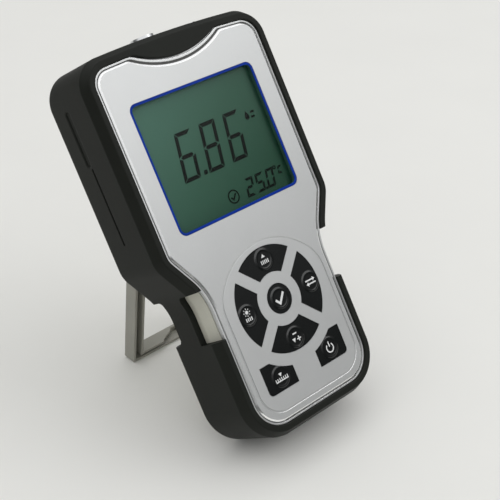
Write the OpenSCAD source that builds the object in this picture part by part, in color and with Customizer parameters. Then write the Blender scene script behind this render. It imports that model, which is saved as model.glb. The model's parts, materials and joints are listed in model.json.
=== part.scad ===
// Handheld digital pH meter in a rubber boot, leaning on its opened kickstand.
// The parts are drawn in the meter's own frame: X across, Y from heel to top,
// Z from the back (0) to the front, and posed() then leans them on the table.

/* [Pose] */
// Angle of the meter's long axis above the table, in degrees
lean = 57; // [52:0.5:60]
// Angle between the opened kickstand and the meter's back, in degrees
stand_open = 39.2; // [38:0.2:41]

/* [Outline] */
// Length of the boot from heel to top
case_len = 159.4; // [159:0.1:162]
// Width of the boot across the display head
head_w = 90; // [90:0.5:93]
// Width of the boot across the grip
grip_w = 70; // [70:0.5:72]
// Corner radius at the heel
heel_r = 17.3; // [16:0.1:18]
// Corner radius at the top
top_r = 12; // [11:0.1:13]
// Radius of the hollow between grip and head
waist_r = 23.4; // [20:0.2:25]
// Height at which that hollow starts
waist_y = 55.8; // [54:0.2:57]
// Slope of the shoulder away from the long axis, in degrees
shoulder_slope = 31; // [29:0.5:33]
// Radius where the shoulder meets the head
shoulder_r = 11.2; // [11:0.1:13]
// Radius of the slightly crowned top edge
crown_r = 600; // [450:10:900]

/* [Boot] */
// Thickness of the whole meter over the boot
boot_t = 30.1; // [30:0.1:31]
// Rounding of the boot's back edge
boot_round = 3; // [2:0.1:3]
// Width of the slanted band along the front edge
boot_bevel = 2.1; // [1.5:0.1:2.4]
// Height of that band
boot_bevel_h = 3.9; // [3:0.1:4.5]
// Start of the side cut-outs at the grip
cutout_y = 44.9; // [44:0.1:46]
// Length of the side cut-outs
cutout_len = 20.4; // [17:0.2:21]

/* [Housing] */
// Distance from the boot's outline to the silver face
face_inset = 4.95; // [4.9:0.05:5.1]
// Height of the silver face above the back plane
face_z = 29.6; // [29.5:0.1:29.9]
// Width of the face's bevelled edge
face_bevel = 1.25; // [0.8:0.05:1.4]
// Radius of the crescent cut into the face's top edge
crescent_r = 42; // [38:1:48]
// Lowest point of the crescent
crescent_y = 148.8; // [147:0.1:150]
// Radius of the crescent's two horns
horn_r = 4.7; // [3:0.1:6]
// Height of the split between the rear and front housings
split_z = 27.3; // [27.2:0.1:27.4]

/* [Display] */
// Width of the display opening
display_w = 61.8; // [60:0.1:62]
// Lower edge of the display opening
display_y = 85.7; // [85:0.1:86.5]
// Height of the display opening
display_h = 52.1; // [50:0.1:52.5]
// Corner radius of the display opening
display_r = 3.2; // [2:0.1:4]
// Wall of the blue bezel around the display
bezel_wall = 1.05; // [0.8:0.05:1.4]

/* [Keypad] */
// Height of the centre of the key ring
keys_y = 48.5; // [48:0.1:49]
// Outer radius of the key ring
ring_r = 21.2; // [20:0.1:21.4]
// Inner radius of the key ring
ring_hole_r = 10.8; // [10:0.1:11.5]
// Gap between neighbouring ring keys
ring_gap = 5; // [4:0.1:6]
// Radius of the confirm key
ok_r = 5.9; // [5:0.1:6.5]
// Distance that a key travels when pressed
key_travel = 0.4; // [0.2:0.05:0.4]
// Side clearance of a key in its opening
key_clear = 0.12; // [0.08:0.02:0.2]

/* [Battery] */
// Radius of one AA cell
cell_r = 7.1; // [6.9:0.05:7.15]
// Length of one AA cell with its positive cap
cell_len = 50.5; // [49.5:0.1:50.5]

/* [Kickstand] */
// Half of the kickstand's outer width
stand_half_w = 21.6; // [21.2:0.1:21.8]
// Width of one leg
leg_w = 5.2; // [4.8:0.1:5.2]
// Thickness of the kickstand
leg_t = 6.2; // [5.8:0.1:6.2]
// Distance of the hinge from the heel
hinge_y = 116.8; // [116:0.1:117.5]
// Radius of the hinge pin
pin_r = 1.5; // [1.2:0.05:1.6]
// Radial clearance of the legs on the pin
pin_clear = 0.05; // [0.02:0.01:0.1]

/* [Connectors] */
// Offset of the electrode socket from the middle
bnc_x = -2; // [-4:0.5:0]
// Offset of the temperature socket from the middle
temp_x = 20; // [19:0.5:21]
// Height of both sockets above the back plane
jack_z = 13.8; // [13.5:0.1:14.2]
// Outer radius of the temperature socket
temp_r = 4.15; // [4.1:0.05:4.2]
// Bore radius of the temperature socket's centre contact
temp_bore_r = 1.65; // [1.6:0.01:1.7]
// Bore radius of the electrode socket's centre contact
bnc_bore_r = 0.7; // [0.66:0.01:0.75]

/* [Hidden] */
$fn = 48;
eps = 0.01;
fit = 0.1;

// Outline
half_head = head_w / 2;
half_grip = grip_w / 2;
waist_x = half_grip + waist_r;
slope_run = half_head - half_grip - (waist_r + shoulder_r) * (1 - cos(shoulder_slope));
shoulder_x = half_head - shoulder_r;
shoulder_y = waist_y + (waist_r + shoulder_r) * sin(shoulder_slope) + slope_run / tan(shoulder_slope);
crown_cy = case_len - crown_r;
top_x = half_head - top_r;
top_y = crown_cy + sqrt(pow(crown_r - top_r, 2) - pow(top_x, 2));
crown_a = atan2(top_y - crown_cy, top_x);

// Crescent in the face's top edge, with horn circles that touch the crown and the crescent
crescent_cy = crescent_y + crescent_r;
horn_out_r = horn_r + face_inset;
crescent_out_r = crescent_r - face_inset;
horn_d_crown = crown_r - horn_out_r;
horn_d_crescent = crescent_out_r + horn_out_r;
horn_span = crescent_cy - crown_cy;
horn_rise = (pow(horn_d_crown, 2) - pow(horn_d_crescent, 2) + pow(horn_span, 2)) / (2 * horn_span);
horn_x = sqrt(pow(horn_d_crown, 2) - pow(horn_rise, 2));
horn_y = crown_cy + horn_rise;
horn_a0 = atan2(horn_rise, horn_x);
horn_a1 = atan2(crescent_cy - horn_y, -horn_x);

// Boot details
cutout_front_z = 19.5;
cutout_back_z = 7.4;
groove_depth = 0.5;
groove_wide_y = [122, 145];
groove_wide_z = [10.2, 13.9];
groove_thin_y = 90.5;
groove_thin_w = 1.1;
opening_inset = 9.5;
crescent_half_w = 26;

// Housing heights and insets
pad_inset = 9.6;
pad_z = 0.8;
back_z = 2.8;
side_inset = 2.8;
taper_z = 22;
split_inset = 4.3;
wall_inset = 6;
floor_z = 4.8;
gasket_t = 0.3;
plate_z = split_z + gasket_t;
plate_step_z = plate_z + 0.75;
rim_step = 0.05;
post_z = 14;
post_r = 2.6;
boss_r = 4;
case_screw_r = 1.2;
case_head_r = 2.2;
case_seat_z = 7;
case_screw_at = [[34.8, 147], [36, 90], [26, 20]];
board_screw_at = [[24.8, 35], [29.5, 104]];
board_screw_r = 0.95;
board_boss_r = 2.4;
door_screw_r = 1.2;
door_boss_r = 2.6;
door_boss_z = 9;

// Display stack
board_z = 19;
board_t = 1.6;
board_top = board_z + board_t;
lcd_z = 25.1;
lcd_t = 1.6;
lcd_x = [-31.5, 31.5];
lcd_y = [82.5, 140.5];
holder_wall = 1.5;
holder_gap = 0.1;
light_z = 22.6;
light_y0 = 85.2;
light_corner = 3;
zebra_x = [-28, 28];
zebra_y = [82.7, 84.7];
window_z = 26.8;
window_t = 0.9;
bezel_flange = 2;

// Board parts: offset, height and size of each, on the board's underside
board_x = [22, 27, 32.5];
board_y = [12, 26, 77, 143];
processor_at = [-12, 112];
processor_w = 12;
buzzer_at = [20, 104];
buzzer_r = 6;
buzzer_h = 5.5;

// Keypad
cap_z = 26.9;
cap_proud = 0.15;
flange_w = 0.7;
dome_r = 4;
dome_h = 0.5;
stem_r = 2.3;
snap_h = 0.5;
snap_r = 3;
mat_z = 24.2;
overlay_t = 0.27;
overlay_w = 53.2;
overlay_y = 8.9;
overlay_corner_r = 10.5;
overlay_top_r = 30;
overlay_top_cy = 42.3;
overlay_blend_r = 15;
overlay_blend_x = overlay_w / 2 - overlay_blend_r;
overlay_blend_y = overlay_top_cy
    + sqrt(pow(overlay_top_r - overlay_blend_r, 2) - pow(overlay_blend_x, 2));
overlay_blend_a = atan2(overlay_blend_y - overlay_top_cy, overlay_blend_x);
corner_key_x = [6.4, 21.5];
corner_key_y = [16.4, 28.2];
corner_key_cut_r = 26.2;
corner_key_r = 2;
ring_dome = [16.4, 17.1];
corner_dome = [13.65, 21.6];

// Battery compartment
cell_x = 7.4;
cell_z = 10.2;
bay_half_w = 14.9;
bay_y = [31, 87];
bay_top = 17.7;
bay_wall = 1.2;
cap_len = 1.2;
cap_r = 2.75;
spring_gap = 2.5;
door_half_w = 15.7;
door_y = [25.5, 93];
door_t = 1.6;
ledge_z = 2.95;
door_screw_y = [28.3, 90.3];

// Kickstand
hinge_z = pad_z + leg_t / 2;
turn = lean + stand_open;
heel_drop = boot_round * (sin(lean) + cos(lean) - 1);
hinge_up = hinge_y * sin(lean) + hinge_z * cos(lean) - heel_drop;
foot_y = [for (z = [-leg_t / 2, leg_t / 2]) -(hinge_up + z * cos(turn)) / sin(turn)];
foot_bar = 3.2;
notch_x = 4.5;
notch_half_w = 9;
leg_wall = 1.1;
web_t = 1.2;
bar_y = foot_y[1] + foot_bar;
recess_gap = 0.2;
recess_z = hinge_z + leg_t / 2 + recess_gap;
recess_roof = 8;
recess_wall = 1;
finger_half_w = 8;
recess_y0 = 13.5;
hinge_half_w = 26;
pin_half = 24.4;

// Connectors
panel_y = 151;
panel_t = 2;
well_x = [-14, 31];
well_z = [6, 22.5];
bnc_r = 4.8;
bnc_thread_r = 4.7;
bnc_len = 10.1;
temp_thread_r = 3.1;
temp_len = 9.2;

// The bounding box is centred over the origin: its front is the rim at the heel, its back the top edge
rim_front = boot_bevel * cos(lean) - boot_t * sin(lean);
top_back = (case_len - boot_round) * cos(lean) - boot_round * sin(lean) + boot_round;
pose_y = -(rim_front + top_back) / 2;

module posed() {
    translate([0, pose_y, -heel_drop]) rotate([lean, 0, 0]) children();
}

// Points on an arc whose outward normal turns from a0 to a1; a negative r makes a hollow.
// inset moves the arc inwards, and skip leaves out a first point that the last arc ended on.
function arc(cx, cy, r, a0, a1, n, inset, skip = 0) = [
    for (i = [skip:n])
        let (a = a0 + (a1 - a0) * i / n)
        [cx + (r - inset) * cos(a), cy + (r - inset) * sin(a)]
];

function both_sides(half) = concat(
    half,
    [for (i = [len(half) - 1:-1:0]) if (half[i][0] > eps) [-half[i][0], half[i][1]]]
);

function side_half(d) = concat(
    arc(half_grip - heel_r, heel_r, heel_r, -90, 0, 12, d),
    arc(waist_x, waist_y, -waist_r, 0, -shoulder_slope, 6, d),
    arc(shoulder_x, shoulder_y, shoulder_r, -shoulder_slope, 0, 5, d),
    arc(top_x, top_y, top_r, 0, crown_a, 10, d)
);

function case_outline(d) = both_sides(concat(
    side_half(d),
    arc(0, crown_cy, crown_r, crown_a, 90, 3, d, 1)
));

function face_outline(d) = both_sides(concat(
    side_half(d),
    arc(0, crown_cy, crown_r, crown_a, horn_a0, 2, d, 1),
    arc(horn_x, horn_y, horn_out_r, horn_a0, horn_a1, 6, d, 1),
    arc(0, crescent_cy, -crescent_out_r, horn_a1, 90, 8, d, 1)
));

function overlay_outline(d) = both_sides(concat(
    arc(overlay_w / 2 - overlay_corner_r, overlay_y + overlay_corner_r, overlay_corner_r, -90, 0, 8, d),
    arc(overlay_blend_x, overlay_blend_y, overlay_blend_r, 0, overlay_blend_a, 6, d),
    arc(0, overlay_top_cy, overlay_top_r, overlay_blend_a, 90, 6, d, 1)
));

function at_height(outline, z) = [for (p = outline) [p[0], p[1], z]];
function case_rings(profile) = [for (p = profile) at_height(case_outline(p[0]), p[1])];
function face_rings(profile) = [for (p = profile) at_height(face_outline(p[0]), p[1])];

// Solid through a stack of outlines. A loop closes back on its first outline, as a tube does.
module skin(rings, loop = false) {
    n = len(rings[0]);
    m = len(rings);
    walls = [
        for (i = [0:m - (loop ? 1 : 2)], j = [0:n - 1])
            let (up = (i + 1) % m, next = (j + 1) % n)
            [i * n + j, up * n + j, up * n + next, i * n + next]
    ];
    caps = loop ? [] : [[for (j = [0:n - 1]) j], [for (j = [n - 1:-1:0]) (m - 1) * n + j]];
    polyhedron(points = [for (r = rings) each r], faces = concat(walls, caps), convexity = 8);
}

module slab(z0, z1) {
    translate([0, 0, z0]) linear_extrude(z1 - z0, convexity = 6) children();
}

module box(x, y, z) {
    translate([x[0], y[0], z[0]]) cube([x[1] - x[0], y[1] - y[0], z[1] - z[0]]);
}

module rect(x, y) {
    translate([x[0], y[0]]) square([x[1] - x[0], y[1] - y[0]]);
}

module both() {
    children();
    mirror([1, 0, 0]) children();
}

module rounded(x, y, r) {
    difference() {
        rect(x, y);
        for (i = [0, 1], j = [0, 1])
            translate([x[i], y[j]]) difference() {
                square(2 * r, center = true);
                translate([(1 - 2 * i) * r, (1 - 2 * j) * r]) circle(r);
            }
    }
}

module display_shape(grow) {
    half = display_w / 2 + grow;
    rounded([-half, half], [display_y - grow, display_y + display_h + grow], display_r + grow);
}

// ---- Boot ----

module boot_body() {
    back_edge = [for (a = [0:22.5:90]) [boot_round * (1 - sin(a)), boot_round * (1 - cos(a))]];
    bevel_z = boot_t - boot_bevel_h;
    skin(case_rings(concat(
        [[opening_inset, 0.5], [opening_inset - 0.5, 0]],
        back_edge,
        [
            [0, bevel_z - 0.3], [0.1, bevel_z + 0.2],
            [boot_bevel - 0.15, boot_t - 0.28], [boot_bevel + 0.2, boot_t],
            [face_inset - 0.4, boot_t], [face_inset - fit, boot_t - 0.3],
            [face_inset - fit, split_z + 0.4], [split_inset - fit, split_z + fit],
            [side_inset - fit, taper_z], [side_inset - fit, floor_z],
            [side_inset + 0.5, floor_z - 1.5], [side_inset + 2, back_z - fit],
            [opening_inset, back_z - fit]
        ]
    )), loop = true);
}

// The crescent of rubber that fills the hollow in the face's top edge
module boot_crescent() {
    slab(plate_step_z + fit, boot_t) intersection() {
        difference() {
            polygon(case_outline(face_inset - 0.4));
            polygon(face_outline(face_inset - fit));
        }
        rect([-crescent_half_w, crescent_half_w], [crescent_y - 1, case_len]);
    }
}

// Cut-outs at the grip, one from the front and a shallower one from the back
module boot_cutouts() {
    y1 = cutout_y + cutout_len;
    front_r = 3;
    back_r = 1.4;
    front = concat(
        [[cutout_y, boot_t + 1], [cutout_y, cutout_front_z]],
        arc(y1 - front_r, cutout_front_z + front_r, front_r, -90, 0, 6, 0),
        [[y1, boot_t + 1]]
    );
    back = concat(
        [[cutout_y + 0.8, -1], [cutout_y + 0.8, 3.5], [cutout_y + 2.6, cutout_back_z]],
        arc(y1 - 0.5 - back_r, cutout_back_z - back_r, back_r, 90, 0, 4, 0),
        [[y1 - 0.5, -1]]
    );
    both() for (side = [front, back])
        translate([24, 0, 0]) rotate([90, 0, 90]) linear_extrude(half_head) polygon(side);
}

module boot_side_grooves() {
    both() {
        box([half_head - groove_depth, half_head + 1], groove_wide_y, groove_wide_z);
        box([half_head - groove_depth, half_head + 1], [groove_thin_y, groove_wide_y[0] + eps],
            [groove_wide_z[1] - groove_thin_w, groove_wide_z[1]]);
    }
}

module rubber_boot() {
    color("#2f312e") posed() difference() {
        union() {
            boot_body();
            boot_crescent();
        }
        boot_cutouts();
        boot_side_grooves();
        box([well_x[0] - 1, well_x[1] + 1], [panel_y - 1, case_len + 1], [well_z[0] - 1, well_z[1] + 1]);
    }
}

// ---- Housing ----

// Side wall as a closed ring, with a flat floor and the raised back pad inside it
module rear_shell() {
    skin(case_rings([
        [side_inset + 2, back_z], [side_inset + 0.6, back_z + 0.6], [side_inset, floor_z],
        [side_inset, taper_z], [split_inset, split_z], [wall_inset, split_z], [wall_inset, back_z]
    ]), loop = true);
    slab(back_z + eps, floor_z) polygon(case_outline(wall_inset - 0.5));
    slab(pad_z, floor_z - 1) polygon(case_outline(pad_inset));
}

// Raised floor over the stand's recess and round its hinge
module recess_blocks() {
    z = [floor_z - 1, recess_roof];
    inner = stand_half_w - leg_w - recess_gap - recess_wall;
    outer = stand_half_w + recess_gap + recess_wall;
    both() box([inner, outer], [recess_y0, hinge_y + 5], z);
    box([-outer, outer], [recess_y0, door_y[0] - 0.3], z);
    box([-hinge_half_w, hinge_half_w], [hinge_y - 5, hinge_y + 6], z);
}

module recess_cuts() {
    inner = stand_half_w - leg_w - recess_gap;
    outer = stand_half_w + recess_gap;
    foot = hinge_y + foot_y[0] - 0.8;
    both() box([inner, outer], [foot, hinge_y + leg_t / 2 + 0.3], [0, recess_z]);
    box([-outer, outer], [foot, hinge_y + bar_y + 1.2], [0, recess_z]);
    box([-finger_half_w, finger_half_w], [foot - 2.5, foot + 1], [0, floor_z - 1.2]);
}

module battery_bay() {
    box([-bay_half_w - bay_wall, bay_half_w + bay_wall], [bay_y[0] - bay_wall, bay_y[1] + bay_wall],
        [floor_z - 1, bay_top + 1]);
}

module battery_bay_cuts() {
    box([-bay_half_w, bay_half_w], bay_y, [0, bay_top]);
    box([-door_half_w - fit, door_half_w + fit], [door_y[0] - fit, door_y[1] + fit], [0, ledge_z]);
    contact_slots(bay_top - 1, bay_top + 2);
}

// Slots for the solder tabs of the battery contacts
module contact_slots(z0, z1) {
    for (x = [-1, 1]) box([x * cell_x - 1.7, x * cell_x + 1.7], [bay_y[0] - eps, bay_y[0] + 0.8], [z0, z1]);
}

module rear_bosses() {
    base = floor_z - 1;
    both() {
        for (p = case_screw_at) translate([p[0], p[1], base]) cylinder(r = boss_r, h = post_z - base);
        for (p = board_screw_at) translate([p[0], p[1], base]) cylinder(r = board_boss_r, h = board_z - base);
    }
    for (y = door_screw_y) translate([0, y, base]) cylinder(r = door_boss_r, h = door_boss_z - base);
}

module rear_boss_holes() {
    both() {
        for (p = case_screw_at) translate([p[0], p[1], 0]) {
            cylinder(r = case_head_r + 0.2, h = case_seat_z);
            cylinder(r = case_screw_r + 0.1, h = post_z + 1);
        }
        for (p = board_screw_at)
            translate([p[0], p[1], board_z - 8]) cylinder(r = board_screw_r + 0.05, h = 9);
    }
    for (y = door_screw_y) translate([0, y, ledge_z - eps]) cylinder(r = door_screw_r + 0.05, h = 5);
}

// Panel that carries the sockets, at the bottom of a well open to the top
module socket_well() {
    box([well_x[0] - 1.5, well_x[1] + 1.5], [panel_y - panel_t, case_len - side_inset - 0.6],
        [floor_z - 1, well_z[1] + 1.5]);
}

module socket_well_cuts() {
    box(well_x, [panel_y, case_len + 1], well_z);
    at_socket(bnc_x) translate([0, 0, -panel_t - 1]) cylinder(r = bnc_thread_r + 0.1, h = panel_t + 2);
    at_socket(temp_x) translate([0, 0, -panel_t - 1]) cylinder(r = temp_thread_r + 0.1, h = panel_t + 2);
}

module rear_housing() {
    color("#c3c2b6") posed() difference() {
        union() {
            rear_shell();
            intersection() {
                union() {
                    recess_blocks();
                    battery_bay();
                    rear_bosses();
                    socket_well();
                }
                slab(floor_z - 1, split_z) polygon(case_outline(side_inset + 0.8));
            }
        }
        recess_cuts();
        battery_bay_cuts();
        rear_boss_holes();
        socket_well_cuts();
        translate([pin_half, hinge_y, hinge_z]) rotate([0, -90, 0]) cylinder(r = pin_r + 0.01, h = head_w);
    }
}

// Bevelled rim as a closed ring, with a flat plate inside it and a wider flange under both
module front_plate() {
    skin(face_rings([
        [face_inset, plate_step_z - 0.2], [face_inset, face_z - 0.9],
        [face_inset + 0.15, face_z - 0.7], [face_inset + face_bevel, face_z],
        [face_inset + 3, face_z], [face_inset + 3, plate_step_z - 0.2]
    ]), loop = true);
    slab(plate_step_z - 0.3, face_z - rim_step) polygon(face_outline(face_inset + 2));
    slab(plate_z, plate_step_z) polygon(case_outline(face_inset + 0.35));
}

module front_posts() {
    both() for (p = case_screw_at)
        translate([p[0], p[1], post_z + fit]) cylinder(r = post_r, h = plate_z - post_z);
}

module key_openings(grow) {
    translate([0, keys_y]) {
        circle(ok_r + grow);
        for (a = [0:90:270]) rotate(a) ring_key_shape(grow);
    }
    both() corner_key_shape(grow);
}

module front_housing() {
    color("#c9cccd") posed() difference() {
        union() {
            front_plate();
            front_posts();
        }
        slab(plate_z - 1, face_z + 1) display_shape(0.05);
        slab(plate_z - 1, face_z + 1) key_openings(key_clear);
        slab(face_z - overlay_t - 0.02, face_z + 1) polygon(overlay_outline(0));
        both() for (p = case_screw_at)
            translate([p[0], p[1], post_z]) cylinder(r = case_screw_r + 0.05, h = 9);
    }
}

module housing_gasket() {
    color("#3a3a3a") posed() slab(split_z + 0.02, plate_z - 0.02) difference() {
        polygon(case_outline(face_inset + 0.1));
        polygon(case_outline(face_inset + 1));
    }
}

// ---- Display ----

module display_bezel() {
    color("#24408f") posed() difference() {
        union() {
            slab(window_z, face_z) display_shape(0);
            slab(window_z, plate_z - fit) display_shape(bezel_flange);
        }
        slab(window_z - 1, face_z + 1) display_shape(-bezel_wall);
    }
}

module display_window() {
    color("#9fb8b0", 0.4) posed() slab(window_z, window_z + window_t)
        display_shape(-bezel_wall - 0.05);
}

module lcd_glass() {
    color("#4b7462") posed() {
        box(lcd_x, lcd_y, [lcd_z, lcd_z + lcd_t]);
    }
}

module lcd_frame(grow) {
    rect([lcd_x[0] - grow, lcd_x[1] + grow], [lcd_y[0] - grow, lcd_y[1] + grow]);
}

module lcd_holder() {
    color("#e4e4de") posed() slab(board_top + 0.05, lcd_z + lcd_t) difference() {
        lcd_frame(holder_wall);
        lcd_frame(holder_gap);
    }
}

module backlight_panel() {
    x1 = lcd_x[1] - 0.2;
    color("#f0f2ea") posed() slab(light_z, lcd_z - 0.05) difference() {
        rect([-x1, x1], [light_y0, lcd_y[1] - 0.1]);
        both() translate([x1, light_y0]) rotate(45) square(light_corner, center = true);
    }
}

module zebra_strip() {
    color("#d8a3a0") posed() box(zebra_x, zebra_y, [board_top + 0.02, lcd_z - 0.02]);
}

// ---- Electronics ----

module main_board() {
    color("#1f6b3a") posed() difference() {
        slab(board_z, board_top) {
            for (i = [0:2])
                rect([-board_x[i], board_x[i]], [board_y[i] - (i > 0 ? 1 : 0), board_y[i + 1]]);
        }
        contact_slots(board_z - 1, board_top + 1);
        both() for (p = board_screw_at)
            translate([p[0], p[1], board_z - 1]) cylinder(r = board_screw_r + 0.15, h = board_t + 2);
    }
}

module chip(x, y, w, h, t) {
    box([x - w / 2, x + w / 2], [y - h / 2, y + h / 2], [board_z - 0.02 - t, board_z - 0.02]);
}

module processor() {
    color("#1b1b1d") posed() chip(processor_at[0], processor_at[1], processor_w, processor_w, 1.5);
}

module board_components() {
    color("#b59a63") posed() {
        for (i = [0:5]) chip(-24 + 4 * i, 128, 2, 1.25, 0.9);
        for (i = [0:4]) chip(4 + 3.5 * i, 122, 1.6, 3, 1.1);
        chip(14, 131, 5, 4, 1.6);
        chip(-26, 118, 4.6, 11, 3.4);
    }
}

module buzzer() {
    base = board_z - buzzer_h;
    color("#202022") posed() translate([buzzer_at[0], buzzer_at[1], base]) difference() {
        cylinder(r = buzzer_r, h = buzzer_h - 0.02);
        translate([0, 0, -1]) cylinder(r = 1, h = 2);
    }
}

// ---- Keypad ----

module ring_key_shape(grow) {
    edge = (ring_gap / 2 - grow) * sqrt(2);
    intersection() {
        difference() {
            circle(ring_r + grow);
            circle(ring_hole_r - grow);
        }
        polygon([[0, edge], [40, 40 + edge], [-40, 40 + edge]]);
    }
}

module corner_key_shape(grow) {
    x = [corner_key_x[0] - grow, corner_key_x[1] + grow];
    y = [corner_key_y[0] - grow, corner_key_y[1] + grow];
    difference() {
        rect(x, y);
        translate([0, keys_y]) circle(corner_key_cut_r - grow);
        translate([x[1], y[0]]) difference() {
            square(2 * corner_key_r, center = true);
            translate([-corner_key_r, corner_key_r]) circle(corner_key_r);
        }
    }
}

// Raised dome under the finger, on top of a key
module finger_dome(at) {
    sphere_r = (dome_r * dome_r + dome_h * dome_h) / (2 * dome_h);
    top = face_z + cap_proud;
    intersection() {
        translate([at[0], at[1], top + dome_h - sphere_r]) sphere(sphere_r);
        translate([at[0], at[1], top - 0.2]) cylinder(r = dome_r, h = 2);
    }
}

module stem(at) {
    base = board_top + snap_h + key_travel + 0.05;
    translate([at[0], at[1], base]) cylinder(r = stem_r, h = cap_z - base + 0.1);
}

module ring_key(turn_a, at) {
    color("#17181a") posed() {
        translate([0, keys_y, 0]) rotate(turn_a) {
            slab(cap_z, face_z + cap_proud) ring_key_shape(0);
            slab(cap_z, plate_z - fit) ring_key_shape(flange_w);
        }
        finger_dome(at);
        stem(at);
    }
}

module key_up() { ring_key(0, [0, keys_y + ring_dome[0]]); }
module key_left() { ring_key(90, [-ring_dome[1], keys_y]); }
module key_down() { ring_key(180, [0, keys_y - ring_dome[0]]); }
module key_right() { ring_key(270, [ring_dome[1], keys_y]); }

module key_ok() {
    color("#17181a") posed() {
        slab(cap_z, face_z + cap_proud) translate([0, keys_y]) circle(ok_r);
        slab(cap_z, plate_z - fit) translate([0, keys_y]) circle(ok_r + flange_w);
        finger_dome([0, keys_y]);
        stem([0, keys_y]);
    }
}

module corner_key(side) {
    at = [side * corner_dome[0], corner_dome[1]];
    color("#17181a") posed() {
        mirror([side < 0 ? 1 : 0, 0, 0]) {
            slab(cap_z, face_z + cap_proud) corner_key_shape(0);
            slab(cap_z, plate_z - fit) corner_key_shape(flange_w);
        }
        finger_dome(at);
        stem(at);
    }
}

module key_calibrate() { corner_key(-1); }
module key_power() { corner_key(1); }

function key_places() = [
    [0, keys_y], [0, keys_y + ring_dome[0]], [0, keys_y - ring_dome[0]],
    [-ring_dome[1], keys_y], [ring_dome[1], keys_y],
    [-corner_dome[0], corner_dome[1]], corner_dome
];

module keypad_overlay() {
    color("#c2c5c6") posed() slab(face_z - overlay_t, face_z) difference() {
        polygon(overlay_outline(0.25));
        key_openings(key_clear + 0.03);
    }
}

module key_mat() {
    color("#8d8f8e") posed() difference() {
        slab(mat_z, mat_z + 1) rounded([-22, 22], [13, 73], 3);
        for (p = key_places()) translate([p[0], p[1], mat_z - 1]) cylinder(r = stem_r + 0.2, h = 3);
    }
}

module snap_domes() {
    color("#c8cacc") posed() for (p = key_places())
        translate([p[0], p[1], board_top + 0.02]) difference() {
            cylinder(r = snap_r, h = snap_h - 0.02);
            translate([0, 0, -eps]) cylinder(r = snap_r - 0.4, h = 0.3);
        }
}

// ---- Connectors ----

// Local Z points out of the top of the meter, from the outer face of the socket panel
module at_socket(x) {
    translate([x, panel_y, jack_z]) rotate([-90, 0, 0]) children();
}

module ring(r_out, r_in, z0, z1) {
    translate([0, 0, z0]) difference() {
        cylinder(r = r_out, h = z1 - z0);
        translate([0, 0, -1]) cylinder(r = r_in, h = z1 - z0 + 2);
    }
}

module bnc_shell() {
    color("#b9bcbf") posed() at_socket(bnc_x) difference() {
        union() {
            translate([0, 0, -8]) cylinder(r = bnc_thread_r, h = 9);
            translate([0, 0, 0.02]) cylinder(r = 6.8, h = 1.4);
            translate([0, 0, 1]) cylinder(r = bnc_r, h = bnc_len - 1);
            translate([-5.9, 0, 8.5]) rotate([0, 90, 0]) cylinder(r = 1, h = 11.8);
        }
        translate([0, 0, 2]) cylinder(r = 4.05, h = bnc_len);
        translate([0, 0, -9]) cylinder(r = 2.6, h = 12);
    }
}

module bnc_insulator() {
    color("#f1f1ec") posed() at_socket(bnc_x) {
        ring(2.55, 1.15, -7.9, 8);
    }
}

module bnc_contact() {
    color("#d1a545") posed() at_socket(bnc_x) difference() {
        translate([0, 0, -10]) cylinder(r = 1.1, h = 17.5);
        translate([0, 0, 2.5]) cylinder(r = bnc_bore_r, h = 6);
    }
}

module bnc_washer() {
    color("#c0c2c4") posed() at_socket(bnc_x) ring(7.4, bnc_thread_r + 0.1, -panel_t - 0.9, -panel_t - 0.02);
}

module bnc_nut() {
    color("#b9bcbf") posed() at_socket(bnc_x) translate([0, 0, -panel_t - 3.4]) difference() {
        cylinder(r = 7.8, h = 2.45, $fn = 6);
        translate([0, 0, -1]) cylinder(r = bnc_thread_r + 0.05, h = 5);
    }
}

module temperature_socket() {
    color("#c4c6c8") posed() at_socket(temp_x) difference() {
        union() {
            translate([0, 0, -7]) cylinder(r = temp_thread_r, h = 8);
            translate([0, 0, 0.02]) cylinder(r = 5.6, h = 1.18);
            translate([0, 0, 1]) cylinder(r = temp_r, h = temp_len - 1);
        }
        translate([0, 0, 3]) cylinder(r = 3.3, h = temp_len);
        translate([0, 0, -8]) cylinder(r = 2, h = 12);
    }
}

module temperature_insulator() {
    color("#2a2a2c") posed() at_socket(temp_x) difference() {
        union() {
            translate([0, 0, -6.9]) cylinder(r = 1.95, h = 11);
            translate([0, 0, 3.05]) cylinder(r = 3.25, h = 5.15);
        }
        translate([0, 0, 3.15]) cylinder(r = 2.05, h = 6);
        translate([0, 0, -8]) cylinder(r = 0.85, h = 12);
    }
}

module temperature_contact() {
    color("#d1a545") posed() at_socket(temp_x) difference() {
        union() {
            translate([0, 0, -9]) cylinder(r = 0.8, h = 12.4);
            translate([0, 0, 3.2]) cylinder(r = 2, h = 5);
        }
        translate([0, 0, 3.7]) cylinder(r = temp_bore_r, h = 5);
    }
}

module temperature_nut() {
    color("#c4c6c8") posed() at_socket(temp_x) translate([0, 0, -panel_t - 2.1]) difference() {
        cylinder(r = 5.4, h = 2.05, $fn = 6);
        translate([0, 0, -1]) cylinder(r = temp_thread_r + 0.05, h = 5);
    }
}

// One wire from a socket's tail down to the board
module signal_wire(x, tail) {
    end = panel_y - tail - 0.03;
    bend = end - 4;
    wire_r = 0.6;
    translate([x, end, jack_z]) rotate([90, 0, 0]) cylinder(r = wire_r, h = end - bend);
    translate([x, bend, jack_z]) sphere(wire_r);
    translate([x, bend, jack_z]) cylinder(r = wire_r, h = board_z - jack_z - 0.02);
}

module signal_wires() {
    color("#b3322c") posed() {
        signal_wire(bnc_x, 10);
        signal_wire(temp_x, 9);
    }
}

// ---- Battery ----

// One cell along +Y from its flat end
module cell() {
    rotate([-90, 0, 0]) {
        cylinder(r = cell_r, h = cell_len - cap_len);
        cylinder(r = cap_r, h = cell_len);
    }
}

module battery_cells() {
    color("#c98a3d") posed() {
        translate([-cell_x, bay_y[0] + 3, cell_z]) cell();
        translate([cell_x, bay_y[1] - 3, cell_z]) rotate(180) cell();
    }
}

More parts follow.
